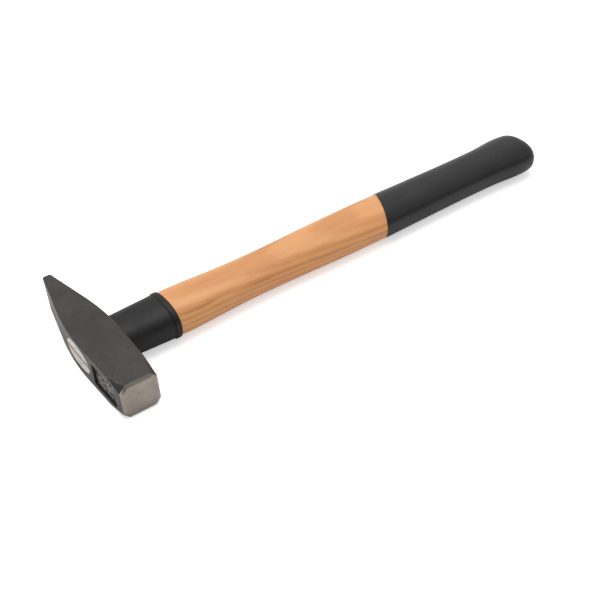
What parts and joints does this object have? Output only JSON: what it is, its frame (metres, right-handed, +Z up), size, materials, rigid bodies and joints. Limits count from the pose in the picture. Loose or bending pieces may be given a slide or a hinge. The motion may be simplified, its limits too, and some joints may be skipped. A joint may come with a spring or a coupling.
{
  "type": "cross peen hammer",
  "caption": "Engineer's cross-peen hammer: square striking face, wedge peen, wedged oval wooden handle, plastic overstrike sleeve and black dipped grip.",
  "frame": {"origin": "on the lower cheek of the head, straight below the crossing of the handle's axis and the head's axis; the hammer lies on that cheek", "axes": "+X along the handle from the head to the butt, +Y along the head from the striking face to the peen, +Z up, square to the cheeks"},
  "size_m": [0.2816, 0.096, 0.019],
  "materials": {
    "coated_steel": "forged steel with a thin satin black coat, striking face ground bare",
    "ash_wood": "clear-lacquered ash, grain along the handle",
    "wedge_wood": "hardwood wedge, cut flush",
    "wedge_steel": "bare steel ring, driven flush",
    "sleeve_plastic": "satin black moulded plastic",
    "dip_coat": "black dipped lacquer, semi-gloss"
  },
  "bodies": {
    "root": {"steel_head": "coated_steel", "wooden_handle": "ash_wood", "wooden_wedge": "wedge_wood", "ring_wedge": "wedge_steel", "overstrike_sleeve": "sleeve_plastic", "grip_coat": "dip_coat"}
  },
  "joints": []
}
